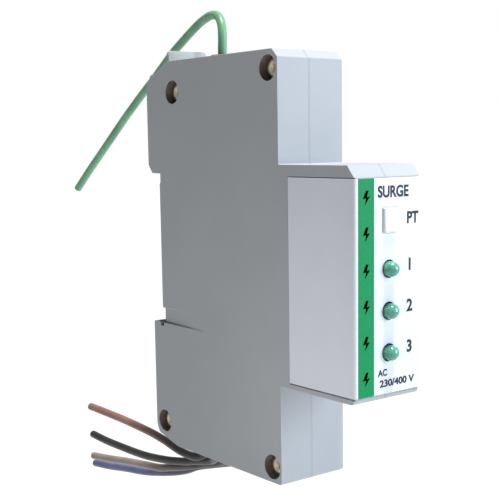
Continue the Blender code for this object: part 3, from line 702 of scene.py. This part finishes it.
def make_label():
    dress("wrap_label", film("label_film_white", (0.63, 0.65, 0.705)))
    green = ink("ink_green", (0.001, 0.215, 0.066), 0.03)
    dark = ink("ink_dark", (0.012, 0.013, 0.017), 0.15)
    print_plate("print_band", BAND, green)
    band_ink = ink("ink_band_marks", (0.035, 0.085, 0.035), 0.3)
    for i, z in enumerate(BOLT_Z):
        print_plate(f"print_mark_{i + 1}", [(BOLT_X + x, z + dz) for x, dz in BOLT], band_ink)
    print_text("print_type", "SURGE", (1.05, 15.2), 2.2, dark, width=8.3)
    print_text("print_test", "PT", (6.3, 10.0), 2.3, dark, width=3.3)
    for i, z in enumerate(PHASE_NUMBER_Z):
        print_text(f"print_phase_{i + 1}", str(i + 1), (5.6, z), 2.4, dark)
    print_text("print_rating_1", "AC", (-1.7, -19.7), 1.3, dark, width=2.4)
    print_text("print_rating_2", "230/400 V", (2.2, -21.85), 1.4, dark, width=9.6)


# ---------------------------------------------------------------- front panel pieces

LAMP_Z = (0.5, -7.65, -15.8)
LAMP_BACK_Y = -63.1
LAMP_RADIUS = 1.5
LAMP_DOME_FROM = 4.15


def make_lamps():
    green = lens("lamp_epoxy", (0.08, 0.33, 0.225))
    dome = arc((0.0, LAMP_DOME_FROM), LAMP_RADIUS, 90, 0, 12)[1:]
    flange = [(LAMP_RADIUS, 1.08), (1.58, 1.0), (1.86, 0.96), (1.9, 0.88), (1.9, 0.06), (1.84, 0.0)]
    profile = [(0.0, LAMP_DOME_FROM + LAMP_RADIUS), *dome, *flange, (0.0, 0.0)]
    for i, z in enumerate(LAMP_Z):
        piece = lathe(f"lamp_{i + 1}", profile, (0, LAMP_BACK_Y, z), (0, -1, 0), green, slot="lamp_lens")
        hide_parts(f"led_l{i + 1}")


def make_button():
    white = moulded("button_white", (0.66, 0.69, 0.71), 0.36)
    dress("test_button", white, bevel=0.1)
    make_button_seal(white)


BUTTON_Z = 9.9
SEAL_FRONT_Y = -66.4
SEAL_BACK_Y = -65.7
SEAL_OUTER = (1.9, 2.55)
SEAL_INNER = (1.71, 2.36)


def make_button_seal(plastic):
    """A thin pale frame in the gap round the button, just behind the label's face."""
    bm = bmesh.new()
    rings = []
    for y in (SEAL_FRONT_Y, SEAL_BACK_Y):
        for wide, tall in (SEAL_OUTER, SEAL_INNER):
            corners = ((-wide, -tall), (wide, -tall), (wide, tall), (-wide, tall))
            rings.append([bm.verts.new((x * MM, y * MM, (BUTTON_Z + z) * MM)) for x, z in corners])
    for first, second in ((0, 1), (1, 3), (3, 2), (2, 0)):
        for a in range(4):
            b = (a + 1) % 4
            bm.faces.new((rings[first][a], rings[first][b], rings[second][b], rings[second][a]))
    bmesh.ops.recalc_face_normals(bm, faces=bm.faces)
    add_piece("button_seal", mesh_from(bm, "button_seal"), plastic, slot="button_plastic")


def make_latch():
    dress("rail_latch", moulded("latch_white", (0.335, 0.342, 0.318), 0.42), bevel=0.12)
    make_latch_spring()


SPRING_RADIUS = 1.0
SPRING_WIRE = 0.18
SPRING_TURNS = 5.5
SPRING_STEPS_PER_TURN = 20
SPRING_WIRE_SIDES = 10


def make_latch_spring():
    """A coil in the latch spring's place, its upper end against the case."""
    low, high = (Vector(corner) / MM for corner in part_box("latch_spring"))
    middle_y = (low.y + high.y) / 2
    foot, top = low.z + SPRING_WIRE, high.z - SPRING_WIRE
    count = int(SPRING_TURNS * SPRING_STEPS_PER_TURN)
    rise = (top - foot) / (SPRING_TURNS * 2 * math.pi)
    bm = bmesh.new()
    rings = []
    for i in range(count + 1):
        angle = 2 * math.pi * i / SPRING_STEPS_PER_TURN
        out = Vector((math.cos(angle), math.sin(angle), 0.0))
        along = Vector((-out.y * SPRING_RADIUS, out.x * SPRING_RADIUS, rise)).normalized()
        up = along.cross(out)
        centre = Vector((0.0, middle_y, foot + (top - foot) * i / count)) + out * SPRING_RADIUS
        ring = []
        for u, v in arc((0.0, 0.0), SPRING_WIRE, 0, 360, SPRING_WIRE_SIDES)[:-1]:
            ring.append(bm.verts.new((centre + out * u + up * v) * MM))
        rings.append(ring)
    for first, second in zip(rings, rings[1:]):
        for a in range(SPRING_WIRE_SIDES):
            b = (a + 1) % SPRING_WIRE_SIDES
            bm.faces.new((first[a], first[b], second[b], second[a]))
    bm.faces.new(rings[0])
    bm.faces.new(rings[-1])
    bmesh.ops.recalc_face_normals(bm, faces=bm.faces)
    coil = bpy.data.objects.new("latch_coil", mesh_from(bm, "latch_coil", 50))
    bpy.context.scene.collection.objects.link(coil)
    coil.data.materials.append(metal("spring_wire", (0.55, 0.55, 0.57), 0.28, 0.3))
    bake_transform(coil)
    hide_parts("latch_spring")


def make_grommets():
    black = rubber("grommet_black", (0.03, 0.03, 0.032))
    dress("earth_grommet", black)
    dress("lead_grommet", black)


# ---------------------------------------------------------------- inside

def make_inside():
    board = woven_board("board_green", (0.02, 0.13, 0.05), (0.012, 0.09, 0.035))
    dress("main_pcb", board, bevel=0.06)
    dress("insulation_sheet", paper("aramid_sheet", (0.70, 0.60, 0.40)))
    black = moulded("switch_black", (0.03, 0.03, 0.032), 0.42, spread=0.15)
    for name in ("tact_switch_body", "tact_switch_plunger", "led_holder"):
        dress(name, black)
    for i in range(3):
        diode = moulded(f"diode_case_{i + 1}", (0.025, 0.025, 0.027), 0.35, spread=0.15)
        dress(f"led_diode_l{i + 1}", diode)
    epoxy = moulded("varistor_blue", (0.02, 0.10, 0.36), 0.3, grain=0.01, spread=0.12)
    tin = metal("tinned_case", (0.70, 0.70, 0.68), 0.3, 0.25)
    stripes = (
        (0.30, (0.15, 0.05, 0.02)), (0.42, (0.02, 0.02, 0.02)),
        (0.54, (0.5, 0.1, 0.02)), (0.68, (0.55, 0.38, 0.08)),
    )
    enamel = banded("resistor_enamel", (0.58, 0.45, 0.28), stripes, -0.053, -0.045)
    for i in range(3):
        dress(f"varistor_l{i + 1}", epoxy)
        dress(f"thermal_fuse_l{i + 1}", tin)
        dress(f"led_resistor_l{i + 1}", enamel)
    dress("test_resistor", enamel)
    dress("gas_discharge_tube", moulded("tube_ceramic", (0.78, 0.76, 0.70), 0.3, spread=0.05))
    for name in ("phase_brown", "phase_black", "phase_grey", "neutral_blue", "earth_green"):
        dress("solder_post_" + name, tin)


# ---------------------------------------------------------------- studio, in metres

FLOOR_Z = -0.42
FLOOR_SIZE = 9.0


def make_floor():
    bm = bmesh.new()
    bmesh.ops.create_grid(bm, x_segments=24, y_segments=24, size=FLOOR_SIZE)
    bmesh.ops.translate(bm, vec=(0, 0, FLOOR_Z), verts=bm.verts)
    floor = bpy.data.objects.new("floor", mesh_from(bm, "floor", 30))
    bpy.context.scene.collection.objects.link(floor)
    pale = Shader("floor_pale", 0.9)
    pale.colour(pale.ramp(pale.noise(400.0, 2.0), (0.3, (0.53, 0.53, 0.53)), (0.7, (0.54, 0.54, 0.54))))
    floor.data.materials.append(pale.material)


def make_area_light(name, place, target, size, power, colour=(1.0, 1.0, 1.0)):
    """A square soft light at a place, turned to a target, both in metres."""
    data = bpy.data.lights.new(name, "AREA")
    data.shape = "SQUARE"
    data.size = size
    data.energy = power
    data.color = colour
    light = bpy.data.objects.new(name, data)
    bpy.context.scene.collection.objects.link(light)
    light.location = place
    light.rotation_mode = "QUATERNION"
    light.rotation_quaternion = (Vector(place) - Vector(target)).to_track_quat("Z", "Y")
    light.visible_camera = False


def make_sun(azimuth, elevation, strength, spread):
    """An overhead light; all but its strength are in degrees."""
    a, e = math.radians(azimuth), math.radians(elevation)
    data = bpy.data.lights.new("overhead", "SUN")
    data.energy = strength
    data.angle = math.radians(spread)
    sun = bpy.data.objects.new("overhead", data)
    bpy.context.scene.collection.objects.link(sun)
    sun.rotation_mode = "QUATERNION"
    away = Vector((math.sin(a) * math.cos(e), -math.cos(a) * math.cos(e), math.sin(e)))
    sun.rotation_quaternion = away.to_track_quat("Z", "Y")


def make_world():
    """White as the camera sees it, nearly dark as a source of fill, mid grey in reflections."""
    world = bpy.data.worlds.new("studio")
    bpy.context.scene.world = world
    world.use_nodes = True
    tree = world.node_tree
    tree.nodes.clear()
    output = tree.nodes.new("ShaderNodeOutputWorld")
    path = tree.nodes.new("ShaderNodeLightPath")
    shown = None
    for name, strength in (("fill", 0.03), ("Is Glossy Ray", 0.55), ("Is Camera Ray", 1.0)):
        glow = tree.nodes.new("ShaderNodeBackground")
        glow.inputs["Color"].default_value = (1.0, 1.0, 1.0, 1.0)
        glow.inputs["Strength"].default_value = strength
        if shown is None:
            shown = glow.outputs[0]
            continue
        mix = tree.nodes.new("ShaderNodeMixShader")
        tree.links.new(path.outputs[name], mix.inputs[0])
        tree.links.new(shown, mix.inputs[1])
        tree.links.new(glow.outputs[0], mix.inputs[2])
        shown = mix.outputs[0]
    tree.links.new(shown, output.inputs[0])


def make_studio():
    make_floor()
    make_sun(10, 81, 6.0, 10)
    make_area_light("key", (0.585, -0.865, 0.25), (0, -0.03, 0), 0.7, 11.3, (0.85, 1.0, 1.17))
    make_area_light("side", (-0.045, -0.058, -0.028), (-0.009, -0.035, -0.022), 0.05, 0.0055)
    make_world()
    bpy.context.scene.view_settings.view_transform = "Standard"
    bpy.context.scene.view_settings.look = "None"


make_camera()
make_leads()
make_case()
make_rivets()
make_label()
make_lamps()
make_button()
make_latch()
make_grommets()
make_inside()
make_studio()
